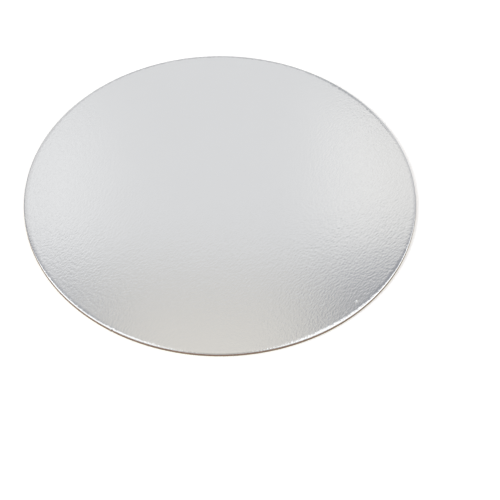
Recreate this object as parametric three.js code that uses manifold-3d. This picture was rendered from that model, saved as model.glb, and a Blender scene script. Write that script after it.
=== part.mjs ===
// A round cake board: one flat disc of double-thick greyboard with metallised
// liners glued on both sides, die-cut in a single stroke. Everything is in
// millimetres, with +Z up through the silver face and the origin at the centre
// of the underside.
import * as THREE from "three";
import { mergeVertices } from "three/addons/utils/BufferGeometryUtils.js";
import Module from "manifold-3d";

// Driving dimensions
const BOARD_DIAMETER = 300; // across the swell of the cut edge
const BOARD_THICKNESS = 3;

// The cutting rule drags the silver liner down before the liner parts, which
// rolls a soft shoulder round the face.
const SHOULDER_WIDTH = 1.8;
const SHOULDER_DROP = 0.7;

// The rule enters straight and the rest of the board bursts outwards, so the
// cut wall swells by this much midway up.
const WALL_SWELL = 0.12;

// The liner below is cut through last, which leaves its edge nearly sharp.
const LOWER_EDGE_WIDTH = 0.3;
const LOWER_EDGE_RISE = 0.2;

// The bent cutting rule closes on itself at one place. Its two ends meet out of
// line there, so the rim has a nib with a small torn nick beside it.
const RULE_JOINT_DEGREES = 238; // round from +X, seen from above
const NIB_LENGTH = 2.4; // along the rim, up to the nick
const NIB_PROUD = 0.35; // beyond the cut wall
const NICK_WIDTH = 1; // along the rim
const NICK_DEPTH = 0.7; // in from the cut wall

// Fineness of the curves
const RIM_STEPS = 240;
const SHOULDER_STEPS = 6;
const WALL_STEPS = 6; // even, so that one falls on the crest of the swell
const LOWER_EDGE_STEPS = 2;

// How far a cutting or joining solid runs past the surface that it crosses
const OVERRUN = 1;

// The silver liner
const SILVER_COLOUR = "#d6d8da";
const SILVER_ROUGHNESS = 0.25;
const SILVER_METALNESS = 0.9;

// Places on the section that follow from the sizes above
const rimRadius = BOARD_DIAMETER / 2;
const wallRadius = rimRadius - WALL_SWELL;
const wallTop = BOARD_THICKNESS - SHOULDER_DROP;

const wasm = await Module();
wasm.setup();

// A quarter of an ellipse from one point to another. It leaves the first one
// level, along the radius, and arrives at the second one upright.
function quarter(from, to, steps) {
  return Array.from({ length: steps + 1 }, (_, i) => {
    const turn = (Math.PI / 2) * (i / steps);
    return new THREE.Vector2(
      from.x + (to.x - from.x) * Math.sin(turn),
      from.y + (to.y - from.y) * (1 - Math.cos(turn)),
    );
  });
}

// The cut wall from its foot to its top, swollen like half a sine wave.
function swollenWall(steps) {
  return Array.from({ length: steps + 1 }, (_, i) => {
    const share = i / steps;
    return new THREE.Vector2(
      wallRadius + WALL_SWELL * Math.sin(Math.PI * share),
      LOWER_EDGE_RISE + (wallTop - LOWER_EDGE_RISE) * share,
    );
  });
}

// Half section of the board, from the centre of the underside out round the cut
// edge and back in to the centre of the face.
function boardSection() {
  const underside = new THREE.Vector2(wallRadius - LOWER_EDGE_WIDTH, 0);
  const wallFoot = new THREE.Vector2(wallRadius, LOWER_EDGE_RISE);
  const wallHead = new THREE.Vector2(wallRadius, wallTop);
  const face = new THREE.Vector2(wallRadius - SHOULDER_WIDTH, BOARD_THICKNESS);
  return [
    new THREE.Vector2(0, 0),
    ...quarter(underside, wallFoot, LOWER_EDGE_STEPS),
    ...swollenWall(WALL_STEPS).slice(1, -1),
    ...quarter(face, wallHead, SHOULDER_STEPS).reverse(),
    new THREE.Vector2(0, BOARD_THICKNESS),
  ];
}

// A closed geometry as a solid that can be joined and cut.
function solidOf(geometry) {
  geometry.deleteAttribute("normal");
  geometry.deleteAttribute("uv");
  const merged = mergeVertices(geometry);
  return new wasm.Manifold(
    new wasm.Mesh({
      numProp: 3,
      vertProperties: merged.attributes.position.array,
      triVerts: new Uint32Array(merged.index.array),
    }),
  );
}

// A joined or cut solid as a geometry.
function geometryOf(solid) {
  const mesh = solid.getMesh();
  const geometry = new THREE.BufferGeometry();
  geometry.setAttribute("position", new THREE.BufferAttribute(mesh.vertProperties, 3));
  geometry.setIndex(new THREE.BufferAttribute(mesh.triVerts, 1));
  geometry.computeVertexNormals();
  return geometry;
}

// The whole disc, turned about its axis.
function disc() {
  return new THREE.LatheGeometry(boardSection(), RIM_STEPS).rotateX(Math.PI / 2);
}

// An upright prism on the rim at the joint of the rule. Its outline is drawn
// with x outwards from the cut wall and y along the rim.
function prismAtJoint(outline, foot, height) {
  return new THREE.ExtrudeGeometry(outline, { depth: height, bevelEnabled: false })
    .translate(wallRadius, 0, foot)
    .rotateZ(THREE.MathUtils.degToRad(RULE_JOINT_DEGREES));
}

// The nib swells out of the cut wall towards the joint, and stops there.
function nib() {
  const outline = new THREE.Shape();
  outline.moveTo(-OVERRUN, 0);
  outline.lineTo(NIB_PROUD, 0);
  outline.quadraticCurveTo(NIB_PROUD, -NIB_LENGTH / 2, -OVERRUN, -NIB_LENGTH);
  outline.closePath();
  return prismAtJoint(outline, LOWER_EDGE_RISE, wallTop - LOWER_EDGE_RISE);
}

// The nick is torn through the whole thickness just past the nib.
function nick() {
  const outline = new THREE.Shape();
  outline.moveTo(OVERRUN, 0);
  outline.lineTo(OVERRUN, NICK_WIDTH);
  outline.lineTo(0, NICK_WIDTH);
  outline.lineTo(-NICK_DEPTH, 0);
  outline.closePath();
  return prismAtJoint(outline, -OVERRUN, BOARD_THICKNESS + 2 * OVERRUN);
}

function cakeBoard() {
  const board = solidOf(disc()).add(solidOf(nib())).subtract(solidOf(nick()));
  const silver = new THREE.MeshStandardMaterial({
    color: SILVER_COLOUR,
    roughness: SILVER_ROUGHNESS,
    metalness: SILVER_METALNESS,
  });
  const mesh = new THREE.Mesh(geometryOf(board), silver);
  mesh.name = "cake_board";
  return mesh;
}

const part = new THREE.Group();
part.add(cakeBoard());

export default part;
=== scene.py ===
"""A round cake board of greyboard between metallised liners, dressed and lit as a product."""
import math

import bmesh
import bpy
from bpy.props import FloatProperty, FloatVectorProperty, IntProperty, PointerProperty
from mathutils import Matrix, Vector, noise


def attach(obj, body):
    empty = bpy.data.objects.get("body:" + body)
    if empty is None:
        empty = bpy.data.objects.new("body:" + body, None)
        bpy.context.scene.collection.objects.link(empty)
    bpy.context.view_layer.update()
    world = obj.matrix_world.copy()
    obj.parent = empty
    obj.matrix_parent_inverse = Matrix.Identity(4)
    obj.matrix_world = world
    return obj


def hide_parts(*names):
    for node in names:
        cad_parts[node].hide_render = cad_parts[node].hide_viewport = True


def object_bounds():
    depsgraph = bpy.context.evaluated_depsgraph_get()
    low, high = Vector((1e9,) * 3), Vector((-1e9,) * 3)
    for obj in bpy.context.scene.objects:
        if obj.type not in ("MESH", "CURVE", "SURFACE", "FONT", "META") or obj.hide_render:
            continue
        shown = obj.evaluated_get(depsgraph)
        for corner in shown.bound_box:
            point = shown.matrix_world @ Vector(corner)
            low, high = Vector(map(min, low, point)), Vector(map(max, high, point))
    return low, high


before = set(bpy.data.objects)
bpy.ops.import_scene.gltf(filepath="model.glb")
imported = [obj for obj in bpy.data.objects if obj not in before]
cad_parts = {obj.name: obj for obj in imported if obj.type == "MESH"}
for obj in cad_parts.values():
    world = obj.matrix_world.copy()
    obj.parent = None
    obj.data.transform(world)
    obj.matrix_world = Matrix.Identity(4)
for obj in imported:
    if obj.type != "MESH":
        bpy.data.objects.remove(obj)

bl_info = {
    "name": "Cake Board",
    "version": (1, 0, 0),
    "blender": (4, 5, 0),
    "location": "View3D > Sidebar > Cake Board",
    "description": "Makes a foil-laminated cake board and the studio that it is shown in",
    "category": "Object",
}

CAD_LOW, CAD_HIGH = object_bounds()
NODE = "cake_board"
BODY = "root"
MM = 0.001
WHITE = (1, 1, 1, 1)


def linear(hex_colour):
    """An sRGB hex colour as linear red, green and blue."""
    channels = [int(hex_colour[i:i + 2], 16) / 255 for i in (1, 3, 5)]
    return tuple(c / 12.92 if c <= 0.04045 else ((c + 0.055) / 1.055) ** 2.4 for c in channels)


def length_property(name, description, default):
    """A length of the board as a property, in metres."""
    return FloatProperty(
        name=name, description=description, default=default, min=0, unit="LENGTH", precision=5
    )


def colour_property(name, description, hex_colour):
    """A surface colour as a property."""
    return FloatVectorProperty(
        name=name, description=description, default=linear(hex_colour), min=0, max=1,
        subtype="COLOR",
    )


class CakeBoardSizes(bpy.types.PropertyGroup):
    """Real sizes of the board, in metres."""

    diameter: length_property(
        "Diameter", "Across the swell of the cut edge", CAD_HIGH[0] - CAD_LOW[0]
    )
    thickness: length_property(
        "Thickness", "From the underside to the silver face", CAD_HIGH[2] - CAD_LOW[2]
    )
    shoulder_width: length_property(
        "Shoulder width", "Of the liner that the cutting rule dragged down", 1.8 * MM
    )
    shoulder_drop: length_property(
        "Shoulder drop", "How far the cutting rule dragged the liner down", 0.7 * MM
    )
    wall_swell: length_property("Wall swell", "How far the cut wall bursts outwards", 0.12 * MM)
    lower_edge_width: length_property("Lower edge width", "Of the round below the wall", 0.3 * MM)
    lower_edge_rise: length_property("Lower edge rise", "Of the round below the wall", 0.2 * MM)
    joint_direction: FloatProperty(
        name="Rule joint", description="Where the ends of the cutting rule meet, from +X",
        default=math.radians(238), subtype="ANGLE",
    )
    nib_length: length_property("Nib length", "Along the rim, up to the nick", 2.4 * MM)
    nib_proud: length_property("Nib height", "How far the nib stands out of the wall", 0.35 * MM)
    nick_width: length_property("Nick width", "Along the rim", 1 * MM)
    nick_depth: length_property("Nick depth", "In from the cut wall", 0.7 * MM)
    wedge_steps: IntProperty(
        name="Rim fineness", description="Facets in each fortieth of a turn", default=45, min=4
    )


class CakeBoardFinish(bpy.types.PropertyGroup):
    """Colours of the three surfaces."""

    silver: colour_property("Silver film", "Metallised film on the face", "#dcdedf")
    gold: colour_property("Gold film", "Lacquered film on the underside", "#dcd9a3")
    board_light: colour_property("Greyboard, light plies", "Recycled fibre", "#a48a79")
    board_dark: colour_property("Greyboard, dark plies", "Recycled fibre", "#745f52")


def add_node(tree, kind, inputs=None, **settings):
    """Add a node with its settings. An input is a value, or the output socket to link to it."""
    node = tree.nodes.new(kind)
    for name, value in settings.items():
        setattr(node, name, value)
    for socket, value in (inputs or {}).items():
        if isinstance(value, bpy.types.NodeSocket):
            tree.links.new(value, node.inputs[socket])
        else:
            node.inputs[socket].default_value = value
    return node


def map_range(tree, value, source, target=(0.0, 1.0), **settings):
    """A value carried over from one range to another."""
    return add_node(
        tree, "ShaderNodeMapRange",
        {
            "Value": value, "From Min": source[0], "From Max": source[1],
            "To Min": target[0], "To Max": target[1],
        },
        **settings,
    ).outputs["Result"]


def fade_out(tree, distance, reach):
    """1 at no distance, eased down to 0 at the reach."""
    return map_range(tree, distance, (0.0, reach), (1.0, 0.0), interpolation_type="SMOOTHSTEP")


def relief(tree, height, full_height, below=None, strength=1.0):
    """Relief from a height texture, laid over the relief below it."""
    inputs = {"Height": height, "Strength": strength, "Distance": full_height}
    if below is not None:
        inputs["Normal"] = below
    return add_node(tree, "ShaderNodeBump", inputs).outputs["Normal"]


def new_material(name):
    """An empty material with its node tree."""
    material = bpy.data.materials.new(name)
    material.use_nodes = True
    material.node_tree.nodes.clear()
    return material, material.node_tree


# Half section of the board


def quarter(start, end, steps):
    """A quarter of an ellipse that leaves its start level and arrives at its end upright."""
    points = []
    for i in range(steps + 1):
        turn = math.pi / 2 * i / steps
        points.append(Vector((
            start.x + (end.x - start.x) * math.sin(turn),
            0,
            start.z + (end.z - start.z) * (1 - math.cos(turn)),
        )))
    return points


def swollen_wall(foot, head, swell, steps):
    """The cut wall between its foot and its head, swollen like half a sine wave."""
    points = []
    for i in range(1, steps):
        point = foot.lerp(head, i / steps)
        point.x += swell * math.sin(math.pi * i / steps)
        points.append(point)
    return points


WEDGES = 40
WELD = 0.001 * MM
SHOULDER_STEPS = 12
WALL_STEPS = 10
LOWER_EDGE_STEPS = 3

# Radii of the mesh's rings in the flat of either side, in mm
FACE_RINGS = (20, 60, 100, 125, 135, 139, 140.5, 141.4, 142.2, 142.9, 143.6, 144.4, 145.3, 146.6)
UNDERSIDE_RINGS = (20, 75, 125, 146)


def board_section(sizes):
    """Half of the board's section, from the centre of the underside out and back to the face's."""
    wall = sizes.diameter / 2 - sizes.wall_swell
    wall_top = sizes.thickness - sizes.shoulder_drop
    underside = Vector((wall - sizes.lower_edge_width, 0, 0))
    foot = Vector((wall, 0, sizes.lower_edge_rise))
    head = Vector((wall, 0, wall_top))
    face = Vector((wall - sizes.shoulder_width, 0, sizes.thickness))
    return [
        *(Vector((ring * MM, 0, 0)) for ring in UNDERSIDE_RINGS),
        *quarter(underside, foot, LOWER_EDGE_STEPS),
        *swollen_wall(foot, head, sizes.wall_swell, WALL_STEPS),
        *reversed(quarter(face, head, SHOULDER_STEPS)),
        *(Vector((ring * MM, 0, sizes.thickness)) for ring in reversed(FACE_RINGS)),
    ]


def spin_board(bm, sizes):
    """Spin the section into a wedge and the wedge into the whole board, and close its middles."""
    corners = [bm.verts.new(point) for point in board_section(sizes)]
    edges = [bm.edges.new(pair) for pair in zip(corners, corners[1:])]
    wedge = 2 * math.pi / WEDGES
    about = {"cent": (0, 0, 0), "axis": (0, 0, 1)}
    bmesh.ops.spin(bm, geom=corners + edges, angle=wedge, steps=sizes.wedge_steps, **about)
    bmesh.ops.spin(
        bm, geom=bm.verts[:] + bm.edges[:] + bm.faces[:], angle=wedge * (WEDGES - 1),
        steps=WEDGES - 1, use_duplicate=True, **about,
    )
    bmesh.ops.remove_doubles(bm, verts=bm.verts, dist=WELD)
    bmesh.ops.holes_fill(bm, edges=bm.edges, sides=0)
    bmesh.ops.recalc_face_normals(bm, faces=bm.faces)


# Irregularities of the rim

# The shoulder's width wanders by a share of itself. The face beside it moves along, less and
# less, up to so many widths in from the wall.
WANDER_PITCH = 45 * MM
WANDER_SHARE = 0.25
WANDER_REACH = 4

# Wrinkles of the dragged liner carry finer ones. The bias sets how many are pressed flat, and
# a lean under 1 makes them deepest towards the face.
WRINKLE_PITCH = 1.7 * MM
WRINKLE_DEPTH = 0.08 * MM
WRINKLE_BIAS = 0.6
WRINKLE_LEAN = 0.7
FINE_WRINKLE_SHARE = 0.5
FINE_WRINKLE_RATIO = 2.3

# Torn fibres of the wall lie level, so they are longer than they are high
TEAR_PITCH = 0.9 * MM
TEAR_DEPTH = 0.05 * MM
TEAR_FLATNESS = 2


def rounded(share):
    """A share held between 0 and 1 and eased at both ends."""
    share = min(max(share, 0), 1)
    return share * share * (3 - 2 * share)


def roughen_rim(bm, sizes):
    """Let the shoulder's width wander, wrinkle its liner and tear the fibres of the cut wall."""
    wall = sizes.diameter / 2 - sizes.wall_swell
    wall_top = sizes.thickness - sizes.shoulder_drop
    width = sizes.shoulder_width
    for vert in bm.verts:
        radius = vert.co.xy.length
        inset = wall - radius
        if inset > WANDER_REACH * width:
            continue
        outwards = Vector((vert.co.x / radius, vert.co.y / radius, 0))
        on_rim = outwards * sizes.diameter / 2
        if vert.co.z > wall_top:
            wander = WANDER_SHARE * noise.noise(on_rim / WANDER_PITCH)
            fade = 1 - rounded((inset - width) / ((WANDER_REACH - 1) * width))
            vert.co -= outwards * inset * wander * fade
            crimp = noise.noise(on_rim / WRINKLE_PITCH)
            crimp += FINE_WRINKLE_SHARE * noise.noise(FINE_WRINKLE_RATIO * on_rim / WRINKLE_PITCH)
            across = max(0, 1 - inset / width)
            profile = math.sin(math.pi * across ** WRINKLE_LEAN)
            vert.co.z -= WRINKLE_DEPTH * max(0, WRINKLE_BIAS + crimp) * profile
        elif vert.co.z > sizes.lower_edge_rise:
            place = Vector((on_rim.x, on_rim.y, TEAR_FLATNESS * vert.co.z)) / TEAR_PITCH
            vert.co -= outwards * TEAR_DEPTH * (0.5 + 0.5 * noise.noise(place))


# How far in the rule joint shifts the rim, in depths of its nick
JOINT_REACH = 2


def mark_rule_joint(bm, sizes):
    """Raise the nib and tear the nick where the two ends of the cutting rule meet."""
    radius = sizes.diameter / 2
    reach = JOINT_REACH * sizes.nick_depth
    for vert in bm.verts:
        inset = radius - vert.co.xy.length
        if inset > reach:
            continue
        turn = (math.atan2(vert.co.y, vert.co.x) - sizes.joint_direction) % (2 * math.pi)
        along = radius * (turn if turn < math.pi else turn - 2 * math.pi)
        if -sizes.nib_length < along <= 0:
            shift = sizes.nib_proud * rounded(1 + along / sizes.nib_length)
        elif 0 < along < sizes.nick_width:
            shift = -sizes.nick_depth * (1 - along / sizes.nick_width)
        else:
            continue
        shift *= 1 - rounded(inset / reach)
        vert.co += vert.co.xy.to_3d().normalized() * shift


DENT_PLACE = Vector((103, -99)) * MM
DENT_RADIUS = 1.3 * MM
DENT_DEPTH = 0.24 * MM

# The mesh is cut finer out to a few radii from the middle of the dent
DENT_MARGIN = 1.5
DENT_CUTS = 4


def press_dent(bm, sizes):
    """Press the small dent into the face, near the rim, where the mesh is first made finer."""
    around = [
        edge for edge in bm.edges
        if all(
            vert.co.z > sizes.thickness - DENT_DEPTH
            and (vert.co.xy - DENT_PLACE).length < DENT_MARGIN * DENT_RADIUS
            for vert in edge.verts
        )
    ]
    bmesh.ops.subdivide_edges(bm, edges=around, cuts=DENT_CUTS, use_grid_fill=True)
    for vert in bm.verts:
        if vert.co.z < sizes.thickness - DENT_DEPTH:
            continue
        distance = (vert.co.xy - DENT_PLACE).length
        vert.co.z -= DENT_DEPTH * (1 - rounded(distance / DENT_RADIUS))


# The surfaces, in the order in which their materials are put on the board
SILVER, EDGE, GOLD = range(3)


def surface_of(face, sizes):
    """Which of the three surfaces a face of the board belongs to."""
    height = face.calc_center_median().z
    if height < sizes.lower_edge_rise:
        return GOLD
    if height < sizes.thickness - sizes.shoulder_drop:
        return EDGE
    return SILVER


# Materials

GRAIN_DIRECTION = math.radians(62)
FIBRE_WIDTH = 1.35 * MM
FIBRE_STRETCH = 1.7
FIBRE_RELIEF_HEIGHT = 0.115 * MM
FIBRE_NOISE_DETAIL = 1.5
FIBRE_NOISE_ROUGHNESS = 0.6
SPECK_SPACING = 24 * MM
SPECK_RADIUS = 0.6 * MM
SPECK_HEIGHT = 0.06 * MM
SPECK_SHARE = 0.3
SHEET_WAVE_PITCH = 30 * MM
SHEET_WAVE_HEIGHT = 0.02 * MM
SHEET_WAVE_DETAIL = 1.0
SHEET_WAVE_DARKEST = 0.985

# The film's veil: the range of the fibre noise, and the roughness at its ends
VEIL_NOISE_RANGE = (0.3, 0.7)
VEIL_ROUGHNESS = (0.13, 0.19)


def metallised_film(name, colour):
    """Aluminium-coated polyester film, laminated on paper and board.

    It mirrors like aluminium through a thin veil, and the fibres below press
    through it as a fine orange peel, which shows wherever a reflection fades.
    """
    material, tree = new_material(name)
    place = add_node(tree, "ShaderNodeTexCoord").outputs["Object"]
    along_grain = add_node(
        tree, "ShaderNodeMapping",
        {
            "Vector": place, "Rotation": (0, 0, GRAIN_DIRECTION),
            "Scale": (FIBRE_WIDTH * FIBRE_STRETCH, FIBRE_WIDTH, FIBRE_WIDTH),
        },
        vector_type="TEXTURE",
    )
    fibres = add_node(
        tree, "ShaderNodeTexNoise",
        {
            "Vector": along_grain.outputs["Vector"], "Scale": 1.0,
            "Detail": FIBRE_NOISE_DETAIL, "Roughness": FIBRE_NOISE_ROUGHNESS,
        },
    ).outputs["Fac"]
    waves = add_node(
        tree, "ShaderNodeTexNoise",
        {"Vector": place, "Scale": 1 / SHEET_WAVE_PITCH, "Detail": SHEET_WAVE_DETAIL},
    ).outputs["Fac"]
    cells = add_node(
        tree, "ShaderNodeTexVoronoi", {"Vector": place, "Scale": 1 / SPECK_SPACING}
    )
    dome = fade_out(tree, cells.outputs["Distance"], SPECK_RADIUS / SPECK_SPACING)
    chosen = add_node(
        tree, "ShaderNodeMath", {0: cells.outputs["Color"], 1: 1 - SPECK_SHARE},
        operation="GREATER_THAN",
    ).outputs["Value"]
    specks = add_node(
        tree, "ShaderNodeMath", {0: dome, 1: chosen}, operation="MULTIPLY"
    ).outputs["Value"]
    normal = relief(tree, specks, SPECK_HEIGHT)
    normal = relief(tree, fibres, FIBRE_RELIEF_HEIGHT, below=normal)
    normal = relief(tree, waves, SHEET_WAVE_HEIGHT, below=normal)
    tint = add_node(
        tree, "ShaderNodeMix",
        {
            "Factor": waves, "A": (*colour, 1),
            "B": (*(c * SHEET_WAVE_DARKEST for c in colour), 1),
        },
        data_type="RGBA",
    )
    shader = add_node(
        tree, "ShaderNodeBsdfPrincipled",
        {
            "Base Color": tint.outputs["Result"], "Metallic": 1.0,
            "Roughness": map_range(tree, fibres, VEIL_NOISE_RANGE, VEIL_ROUGHNESS),
            "Normal": normal,
        },
    )
    add_node(tree, "ShaderNodeOutputMaterial", {"Surface": shader.outputs["BSDF"]})
    return material


PLY_THICKNESS = 0.45 * MM
PLY_NOISE_DETAIL = 3.0
PLY_NOISE_ROUGHNESS = 0.6
EDGE_FIBRE_LENGTH = 1.4 * MM
EDGE_RELIEF_HEIGHT = 0.15 * MM
EDGE_RELIEF_STRENGTH = 0.8
BOARD_ROUGHNESS = 0.95

# The range of the ply noise that goes from the dark plies to the light ones
PLY_NOISE_RANGE = (0.32, 0.68)


def die_cut_greyboard(name, light, dark):
    """Recycled greyboard, cut across its plies by a steel rule.

    Its plies show as light and dark lines round the edge, with torn fibres
    between them, and it is quite matt.
    """
    material, tree = new_material(name)
    place = add_node(tree, "ShaderNodeTexCoord").outputs["Object"]
    flattened = add_node(
        tree, "ShaderNodeMapping",
        {"Vector": place, "Scale": (1, 1, EDGE_FIBRE_LENGTH / PLY_THICKNESS)},
    )
    plies = add_node(
        tree, "ShaderNodeTexNoise",
        {
            "Vector": flattened.outputs["Vector"], "Scale": 1 / EDGE_FIBRE_LENGTH,
            "Detail": PLY_NOISE_DETAIL, "Roughness": PLY_NOISE_ROUGHNESS,
        },
    ).outputs["Fac"]
    colour = add_node(
        tree, "ShaderNodeMix",
        {"Factor": map_range(tree, plies, PLY_NOISE_RANGE), "A": (*dark, 1), "B": (*light, 1)},
        data_type="RGBA",
    )
    shader = add_node(
        tree, "ShaderNodeBsdfPrincipled",
        {
            "Base Color": colour.outputs["Result"], "Roughness": BOARD_ROUGHNESS,
            "Normal": relief(tree, plies, EDGE_RELIEF_HEIGHT, strength=EDGE_RELIEF_STRENGTH),
        },
    )
    add_node(tree, "ShaderNodeOutputMaterial", {"Surface": shader.outputs["BSDF"]})
    return material


# Stage

CAMERA_ELEVATION = math.radians(50.18)
CAMERA_ROLL = math.radians(0.29)
CAMERA_DISTANCE = 3.0
CAMERA_AIM = Vector((23.1, -47.05, 0)) * MM
CAMERA_LENS = 285.25
CAMERA_CLIP_END = 20
FLOOR_SIZE = 8.0
FLOOR_SINK = 0.2 * MM
SWEEP_LIFT = 0.3
SWEEP_COLOUR = (0.9, 0.9, 0.9, 1)

# The studio ceiling that the face mirrors, a sheet seen in reflections alone that glows with
# painted light: its level, and the soft pools of painted light on it.
# Each pool has the middle and half size of its even part, the width of its soft border, and what
# it adds to red, green and blue.
CEILING_HEIGHT = 0.35
CEILING_SIZE = 3.0
CEILING_LEVEL = (0.375, 0.38, 0.41)
CEILING_POOLS = {
    "back window": ((-0.03, 0.43), (0.12, 0.18), 0.08, (0.585, 0.57, 0.545)),
    "left side": ((-0.185, 0.245), (0.0, 0.11), 0.12, (0.20, 0.195, 0.19)),
    "right side": ((0.17, 0.333), (0.01, 0.058), 0.09, (0.62, 0.59, 0.54)),
    "warm middle": ((-0.0085, 0.04), (0.0485, 0.10), 0.11, (0.57, 0.52, 0.43)),
    "camera side": ((0.0, -0.35), (0.10, 0.20), 0.10, (0.26, 0.22, 0.15)),
    "left flank": ((-0.30, 0.455), (0.03, 0.195), 0.12, (0.54, 0.52, 0.49)),
    "right flank": ((0.31, 0.47), (0.03, 0.18), 0.12, (0.50, 0.48, 0.45)),
    "far back": ((0.0, 1.1), (1.5, 0.35), 0.15, (0.30, 0.29, 0.27)),
    "far left": ((-0.95, 0.55), (0.55, 0.15), 0.12, (0.10, 0.09, 0.08)),
    "far right": ((0.95, 0.60), (0.55, 0.12), 0.12, (0.10, 0.09, 0.08)),
}

# Bright panels on either side of the camera, sheets seen in reflections alone that glow with
# painted light, which the rolled shoulder mirrors. Each has its middle, its size and its level.
PANEL_HEIGHT = 0.34
PANELS = {
    "panel_left": ((-0.27, -0.16), (0.36, 0.38), 1.45),
    "panel_left_corner": ((-0.36, 0.055), (0.24, 0.07), 1.7),
    "panel_right": ((0.26, -0.135), (0.33, 0.43), 1.45),
    "panel_far_left": ((-0.95, -0.06), (1.00, 0.48), 1.7),
    "panel_far_right": ((0.86, -0.02), (0.87, 0.66), 2.0),
}

# What the surroundings give to all that isn't seen directly
WORLD_LEVEL = 0.7

# Soft lamps that light what is matt. Each has its place and its power.
SOFTBOX_SIZE = 0.9
SOFTBOXES = {
    "softbox_left": (Vector((-1.2, -0.6, 1.4)), 12.0),
    "softbox_right": (Vector((1.2, -0.6, 1.4)), 2.0),
}


def sheet(name, middle, size, height, material):
    """A level rectangle that belongs to the stage."""
    bm = bmesh.new()
    bmesh.ops.create_grid(bm, x_segments=1, y_segments=1, size=0.5)
    bmesh.ops.scale(bm, verts=bm.verts, vec=(*size, 1))
    bmesh.ops.translate(bm, verts=bm.verts, vec=(*middle, height))
    mesh = bpy.data.meshes.new(name)
    bm.to_mesh(mesh)
    bm.free()
    mesh.materials.append(material)
    obj = bpy.data.objects.new(name, mesh)
    bpy.context.collection.objects.link(obj)
    return obj


def seen_directly(tree):
    """1 on rays that reach the camera straight, in a mirror or through glass, and 0 on others."""
    path = add_node(tree, "ShaderNodeLightPath")
    seen = path.outputs["Is Camera Ray"]
    for kind in ("Is Glossy Ray", "Is Transmission Ray"):
        seen = add_node(
            tree, "ShaderNodeMath", {0: seen, 1: path.outputs[kind]}, operation="MAXIMUM"
        ).outputs["Value"]
    return seen


def white_sweep():
    """Matt white background paper, lifted to white for the camera and for reflections."""
    material, tree = new_material("matt_white_sweep_paper")
    lift = add_node(
        tree, "ShaderNodeMath", {0: seen_directly(tree), 1: SWEEP_LIFT}, operation="MULTIPLY"
    )
    shader = add_node(
        tree, "ShaderNodeBsdfPrincipled",
        {
            "Base Color": SWEEP_COLOUR, "Roughness": 1.0, "Specular IOR Level": 0.0,
            "Emission Color": WHITE, "Emission Strength": lift.outputs["Value"],
        },
    )
    add_node(tree, "ShaderNodeOutputMaterial", {"Surface": shader.outputs["BSDF"]})
    return material


def mirrored_only(obj):
    """Let a sheet show in reflections alone, so that it neither lights nor shades anything."""
    obj.visible_camera = False
    obj.visible_diffuse = False
    obj.visible_shadow = False
    obj.visible_transmission = False


def glowing_ceiling():
    """Ceiling cloth that glows with soft pools of painted light."""
    material, tree = new_material("painted_light_ceiling_cloth")
    place = add_node(tree, "ShaderNodeTexCoord").outputs["Object"]
    light = add_node(
        tree, "ShaderNodeCombineXYZ", dict(zip("XYZ", CEILING_LEVEL))
    ).outputs["Vector"]
    for middle, half_size, border, gain in CEILING_POOLS.values():
        vector = place
        for operation, value in (
            ("SUBTRACT", (*middle, CEILING_HEIGHT)),
            ("ABSOLUTE", (0, 0, 0)),
            ("SUBTRACT", (*half_size, 0)),
            ("MAXIMUM", (0, 0, 0)),
        ):
            vector = add_node(
                tree, "ShaderNodeVectorMath", {0: vector, 1: value}, operation=operation
            ).outputs["Vector"]
        distance = add_node(tree, "ShaderNodeVectorMath", {0: vector}, operation="LENGTH")
        pool = fade_out(tree, distance.outputs["Value"], border)
        part = add_node(
            tree, "ShaderNodeVectorMath", {0: gain, "Scale": pool}, operation="SCALE"
        )
        light = add_node(
            tree, "ShaderNodeVectorMath", {0: light, 1: part.outputs["Vector"]}, operation="ADD"
        ).outputs["Vector"]
    # The pools are painted light: the cloth glows by its own emission, and no lamp lights it.
    glow = add_node(tree, "ShaderNodeEmission", {"Color": light})
    add_node(tree, "ShaderNodeOutputMaterial", {"Surface": glow.outputs["Emission"]})
    return material


def glowing_panel(level):
    """White panel that glows evenly with painted light, in place of a lit reflector."""
    material, tree = new_material("painted_light_panel")
    # The panel's light is painted: it glows by its own emission, and no lamp lights it.
    glow = add_node(tree, "ShaderNodeEmission", {"Color": WHITE, "Strength": level})
    add_node(tree, "ShaderNodeOutputMaterial", {"Surface": glow.outputs["Emission"]})
    return material


def light_world():
    """White surroundings for the camera and reflections, and a plain level of light."""
    world = bpy.data.worlds.new("white_studio")
    world.use_nodes = True
    tree = world.node_tree
    tree.nodes.clear()
    level = map_range(tree, seen_directly(tree), (0.0, 1.0), (WORLD_LEVEL, 1.0))
    shader = add_node(tree, "ShaderNodeBackground", {"Color": WHITE, "Strength": level})
    add_node(tree, "ShaderNodeOutputWorld", {"Surface": shader.outputs["Background"]})
    bpy.context.scene.world = world


def point_at(obj, target):
    """Turn a lamp or camera so that it looks at a point."""
    obj.rotation_euler = (target - obj.location).to_track_quat("-Z", "Y").to_euler()


def add_softbox(name, place, power):
    """A square soft lamp that looks at the board."""
    lamp = bpy.data.lights.new(name, "AREA")
    lamp.shape = "SQUARE"
    lamp.size = SOFTBOX_SIZE
    lamp.energy = power
    obj = bpy.data.objects.new(name, lamp)
    obj.location = place
    obj.visible_glossy = False
    point_at(obj, Vector((0, 0, 0)))
    bpy.context.collection.objects.link(obj)


def add_camera():
    """The camera at the photographed angle."""
    camera = bpy.data.cameras.new("camera")
    camera.lens = CAMERA_LENS
    camera.clip_end = CAMERA_CLIP_END
    obj = bpy.data.objects.new("camera", camera)
    back = Vector((0, -math.cos(CAMERA_ELEVATION), math.sin(CAMERA_ELEVATION)))
    obj.location = CAMERA_AIM + back * CAMERA_DISTANCE
    point_at(obj, CAMERA_AIM)
    obj.rotation_euler.rotate_axis("Z", CAMERA_ROLL)
    bpy.context.collection.objects.link(obj)
    bpy.context.scene.camera = obj


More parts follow.
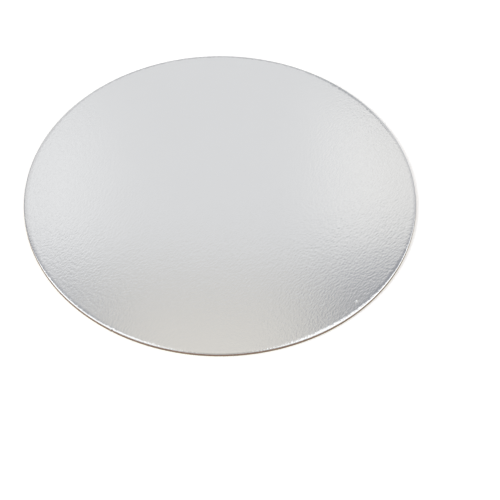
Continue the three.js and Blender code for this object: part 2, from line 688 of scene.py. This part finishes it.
class CAKEBOARD_OT_board(bpy.types.Operator):
    """Make the die-cut board with its silver, gold and greyboard surfaces"""

    bl_idname = "cake_board.make_board"
    bl_label = "Make board"

    def execute(self, context):
        sizes = context.scene.cake_board_sizes
        finish = context.scene.cake_board_finish
        bm = bmesh.new()
        spin_board(bm, sizes)
        roughen_rim(bm, sizes)
        mark_rule_joint(bm, sizes)
        press_dent(bm, sizes)
        for face in bm.faces:
            face.material_index = surface_of(face, sizes)
            face.smooth = True
        mesh = bpy.data.meshes.new("foil_laminated_board")
        bm.to_mesh(mesh)
        bm.free()
        mesh.materials.append(metallised_film("silver_metallised_film", finish.silver))
        mesh.materials.append(
            die_cut_greyboard("die_cut_greyboard", finish.board_light, finish.board_dark)
        )
        mesh.materials.append(metallised_film("gold_lacquered_metallised_film", finish.gold))
        board = bpy.data.objects.new("foil_laminated_board", mesh)
        context.collection.objects.link(board)
        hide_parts(NODE)
        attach(board, BODY)
        return {"FINISHED"}


class CAKEBOARD_OT_stage(bpy.types.Operator):
    """Set the white sweep, the soft lamps, the surroundings and the camera"""

    bl_idname = "cake_board.set_stage"
    bl_label = "Set stage"

    def execute(self, context):
        sheet("sweep", (0, 0), (FLOOR_SIZE, FLOOR_SIZE), -FLOOR_SINK, white_sweep())
        ceiling_size = (CEILING_SIZE, CEILING_SIZE)
        mirrored_only(sheet("ceiling", (0, 0), ceiling_size, CEILING_HEIGHT, glowing_ceiling()))
        for name, (middle, size, level) in PANELS.items():
            mirrored_only(sheet(name, middle, size, PANEL_HEIGHT, glowing_panel(level)))
        for name, (place, power) in SOFTBOXES.items():
            add_softbox(name, place, power)
        light_world()
        add_camera()
        context.scene.view_settings.view_transform = "Standard"
        return {"FINISHED"}


class CAKEBOARD_PT_panel(bpy.types.Panel):
    """Buttons and sizes for the cake board"""

    bl_label = "Cake Board"
    bl_idname = "CAKEBOARD_PT_panel"
    bl_space_type = "VIEW_3D"
    bl_region_type = "UI"
    bl_category = "Cake Board"

    def draw(self, context):
        for group in (context.scene.cake_board_sizes, context.scene.cake_board_finish):
            for name in group.bl_rna.properties.keys():
                if name not in {"rna_type", "name"}:
                    self.layout.prop(group, name)
        for operator in OPERATORS:
            self.layout.operator(operator.bl_idname)


OPERATORS = (CAKEBOARD_OT_board, CAKEBOARD_OT_stage)
CLASSES = (CakeBoardSizes, CakeBoardFinish, *OPERATORS, CAKEBOARD_PT_panel)


def register():
    """Add the classes and the scene's two groups of settings."""
    for cls in CLASSES:
        bpy.utils.register_class(cls)
    bpy.types.Scene.cake_board_sizes = PointerProperty(type=CakeBoardSizes)
    bpy.types.Scene.cake_board_finish = PointerProperty(type=CakeBoardFinish)


def unregister():
    """Take away what register added."""
    del bpy.types.Scene.cake_board_finish
    del bpy.types.Scene.cake_board_sizes
    for cls in reversed(CLASSES):
        bpy.utils.unregister_class(cls)


def main():
    """Make the board and its stage."""
    register()
    bpy.ops.cake_board.make_board()
    bpy.ops.cake_board.set_stage()


if __name__ == "__main__":
    main()
